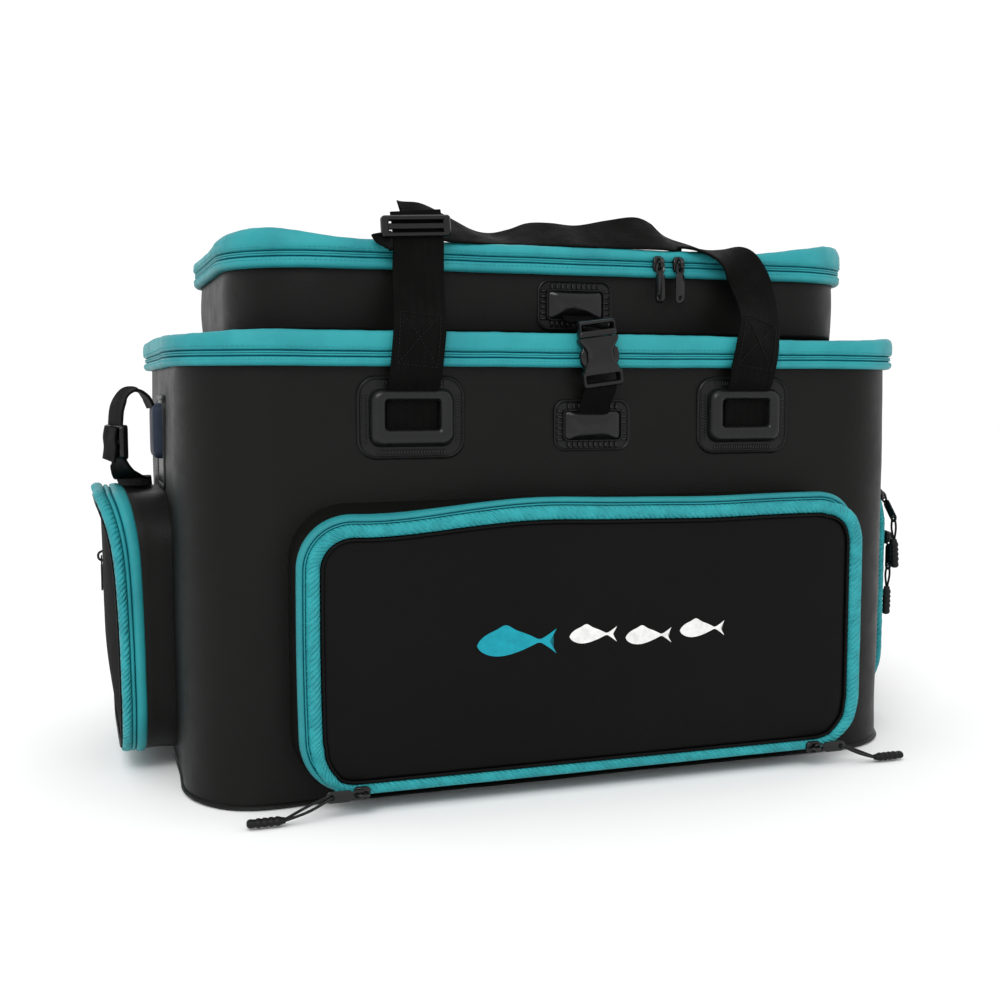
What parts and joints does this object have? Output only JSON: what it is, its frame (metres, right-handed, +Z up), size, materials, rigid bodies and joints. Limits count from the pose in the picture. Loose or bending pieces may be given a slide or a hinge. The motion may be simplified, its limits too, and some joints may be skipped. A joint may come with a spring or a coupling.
{
  "type": "fishing tackle bag",
  "caption": "Welded two-storey tackle bag: zipped lower box, smaller zipped bag buckled on its lid, front and side pockets, carrying handles and shoulder strap.",
  "frame": {"origin": "middle of the flat base, at floor height", "axes": "+X to the right of the bag as seen by someone facing its front, +Z up, and the front pocket faces -Y"},
  "size_m": [0.6806, 0.4068, 0.419],
  "materials": {
    "foam_shell": "satin coated foam, fine grain",
    "foam_panel": "smoother coated panel, slightly glossy",
    "zip_band": "coated turquoise fabric band",
    "zip_coil": "turquoise zipper tape and coil",
    "webbing": "black polypropylene webbing",
    "moulded_patch": "moulded patch, satin",
    "buckle_plastic": "black acetal, glossy",
    "side_patch": "dark blue-grey moulded patch",
    "zip_metal": "black lacquered die casting",
    "rubber_pull": "soft black rubber"
  },
  "bodies": {
    "root": {"base_sole": "foam_shell", "lower_shell": "foam_shell", "lower_band": "zip_band", "lower_coil": "zip_coil", "front_pocket_wall": "foam_shell", "front_pocket_zip": "zip_coil", "left_pocket_wall": "foam_shell", "left_pocket_zip": "zip_coil", "right_pocket_wall": "foam_shell", "right_pocket_zip": "zip_coil", "patch_front_left": "moulded_patch", "patch_front_right": "moulded_patch", "patch_rear_left": "moulded_patch", "patch_rear_right": "moulded_patch", "lower_buckle_patch": "moulded_patch", "lower_buckle_web": "webbing", "buckle_socket": "buckle_plastic", "side_patch_left": "side_patch", "side_patch_right": "side_patch", "shoulder_strap": "webbing", "strap_adjusters": "buckle_plastic"},
    "lower_lid": {"lower_lid_panel": "foam_panel", "lower_lid_band": "zip_band"},
    "upper_bag": {"upper_base": "foam_shell", "upper_shell": "foam_shell", "upper_band": "zip_band", "upper_coil": "zip_coil", "upper_buckle_patch": "moulded_patch", "upper_buckle_web": "webbing", "buckle_plug": "buckle_plastic"},
    "upper_lid": {"upper_lid_panel": "foam_panel", "upper_lid_band": "zip_band"},
    "prong_left": {"buckle_prong_left": "buckle_plastic"},
    "prong_right": {"buckle_prong_right": "buckle_plastic"},
    "front_flap": {"front_flap_panel": "foam_panel", "front_flap_band": "zip_band"},
    "left_flap": {"left_flap_panel": "foam_panel", "left_flap_band": "zip_band"},
    "right_flap": {"right_flap_panel": "foam_panel", "right_flap_band": "zip_band"},
    "front_carry": {"front_handle": "webbing", "handle_glide": "buckle_plastic"},
    "rear_carry": {"rear_handle": "webbing"},
    "upper_runner_a": {"upper_slider_a": "zip_metal"},
    "upper_pull_a": {"upper_tab_a": "zip_metal"},
    "upper_runner_b": {"upper_slider_b": "zip_metal"},
    "upper_pull_b": {"upper_tab_b": "zip_metal"},
    "lower_runner": {"lower_slider": "zip_metal"},
    "lower_pull": {"lower_tab": "zip_metal"},
    "left_runner": {"left_slider": "zip_metal"},
    "left_pull": {"left_tab": "zip_metal"},
    "right_runner_a": {"right_slider_a": "zip_metal"},
    "right_pull_a": {"right_tab_a": "rubber_pull"},
    "right_runner_b": {"right_slider_b": "zip_metal"},
    "right_pull_b": {"right_tab_b": "rubber_pull"},
    "corner_runner_left": {"front_slider_left": "zip_metal"},
    "corner_pull_left": {"front_pull_left": "rubber_pull"},
    "corner_runner_right": {"front_slider_right": "zip_metal"},
    "corner_pull_right": {"front_pull_right": "rubber_pull"}
  },
  "joints": [
    {"name": "lower_lid_hinge", "type": "hinge", "parent": "root", "child": "lower_lid", "pos_m": [0, 0.182, 0.317], "axis": [-1, 0, 0], "range_deg": [0, 100]},
    {"name": "upper_bag_lift", "type": "slide", "parent": "lower_lid", "child": "upper_bag", "axis": [0, 0, 1], "range_m": [0, 0.12]},
    {"name": "upper_lid_hinge", "type": "hinge", "parent": "upper_bag", "child": "upper_lid", "pos_m": [0.006, 0.147, 0.3885], "axis": [-1, 0, 0], "range_deg": [0, 110]},
    {"name": "prong_left_squeeze", "type": "hinge", "parent": "upper_bag", "child": "prong_left", "pos_m": [-0.0045, -0.1883, 0.33015], "axis": [0, -1, 0], "range_deg": [0, 8], "stiffness_Nm_per_rad": 0.2},
    {"name": "prong_right_squeeze", "type": "hinge", "parent": "upper_bag", "child": "prong_right", "pos_m": [0.0165, -0.1883, 0.33015], "axis": [0, 1, 0], "range_deg": [0, 8], "stiffness_Nm_per_rad": 0.2},
    {"name": "front_flap_hinge", "type": "hinge", "parent": "root", "child": "front_flap", "pos_m": [0, -0.21, 0.0213], "axis": [1, 0, 0], "range_deg": [0, 90]},
    {"name": "left_flap_hinge", "type": "hinge", "parent": "root", "child": "left_flap", "pos_m": [-0.332, 0.005, 0.0213], "axis": [0, -1, 0], "range_deg": [0, 90]},
    {"name": "right_flap_hinge", "type": "hinge", "parent": "root", "child": "right_flap", "pos_m": [0.332, 0.005, 0.0213], "axis": [0, 1, 0], "range_deg": [0, 90]},
    {"name": "front_handle_swing", "type": "hinge", "parent": "root", "child": "front_carry", "pos_m": [0, -0.1882, 0.297], "axis": [1, 0, 0], "range_deg": [0, 150]},
    {"name": "rear_handle_swing", "type": "hinge", "parent": "root", "child": "rear_carry", "pos_m": [0, 0.1884, 0.297], "axis": [-1, 0, 0], "range_deg": [-165, 0]},
    {"name": "upper_slider_a_run", "type": "slide", "parent": "upper_bag", "child": "upper_runner_a", "axis": [1, 0, 0], "range_m": [-0.25, 0]},
    {"name": "upper_slider_b_run", "type": "slide", "parent": "upper_bag", "child": "upper_runner_b", "axis": [1, 0, 0], "range_m": [0, 0.1]},
    {"name": "lower_slider_run", "type": "slide", "parent": "root", "child": "lower_runner", "axis": [0, 1, 0], "range_m": [0, 0.065]},
    {"name": "left_slider_run", "type": "slide", "parent": "root", "child": "left_runner", "axis": [0, 0, 1], "range_m": [-0.08, 0.015]},
    {"name": "right_slider_a_run", "type": "hinge", "parent": "root", "child": "right_runner_a", "pos_m": [0.332, -0.036, 0.1685], "axis": [-1, 0, 0], "range_deg": [0, 48]},
    {"name": "right_slider_b_run", "type": "slide", "parent": "root", "child": "right_runner_b", "axis": [0, 0, 1], "range_m": [-0.09, 0]},
    {"name": "front_slider_left_run", "type": "slide", "parent": "root", "child": "corner_runner_left", "axis": [1, 0, 0], "range_m": [0, 0.014]},
    {"name": "front_slider_right_run", "type": "slide", "parent": "root", "child": "corner_runner_right", "axis": [-1, 0, 0], "range_m": [0, 0.014]},
    {"name": "upper_tab_a_swing", "type": "hinge", "parent": "upper_runner_a", "child": "upper_pull_a", "pos_m": [0.072, -0.1522, 0.3885], "axis": [-1, 0, 0], "range_deg": [0, 150]},
    {"name": "upper_tab_b_swing", "type": "hinge", "parent": "upper_runner_b", "child": "upper_pull_b", "pos_m": [0.089, -0.1522, 0.3885], "axis": [-1, 0, 0], "range_deg": [0, 150]},
    {"name": "lower_tab_swing", "type": "hinge", "parent": "lower_runner", "child": "lower_pull", "pos_m": [0.3022, 0.042, 0.317], "axis": [0, -1, 0], "range_deg": [0, 150]},
    {"name": "left_tab_swing", "type": "hinge", "parent": "left_runner", "child": "left_pull", "pos_m": [-0.3372, 0.0889, 0.15], "axis": [0, 1, 0], "range_deg": [0, 150]},
    {"name": "right_tab_a_swing", "type": "hinge", "parent": "right_runner_a", "child": "right_pull_a", "pos_m": [0.3372, -0.06788, 0.19721], "axis": [0, -0.7431, 0.6691], "range_deg": [0, 120]},
    {"name": "right_tab_b_swing", "type": "hinge", "parent": "right_runner_b", "child": "right_pull_b", "pos_m": [0.3372, -0.0789, 0.16], "axis": [0, -1, 0], "range_deg": [0, 120]},
    {"name": "front_pull_left_swing", "type": "hinge", "parent": "corner_runner_left", "child": "corner_pull_left", "pos_m": [-0.178, -0.2152, 0.0166], "axis": [0, 0, 1], "range_deg": [0, 90]},
    {"name": "front_pull_right_swing", "type": "hinge", "parent": "corner_runner_right", "child": "corner_pull_right", "pos_m": [0.178, -0.2152, 0.0166], "axis": [0, 0, -1], "range_deg": [0, 90]}
  ],
  "couplings": [
    {"joint": "prong_right_squeeze", "follows": "prong_left_squeeze", "ratio": 1}
  ]
}
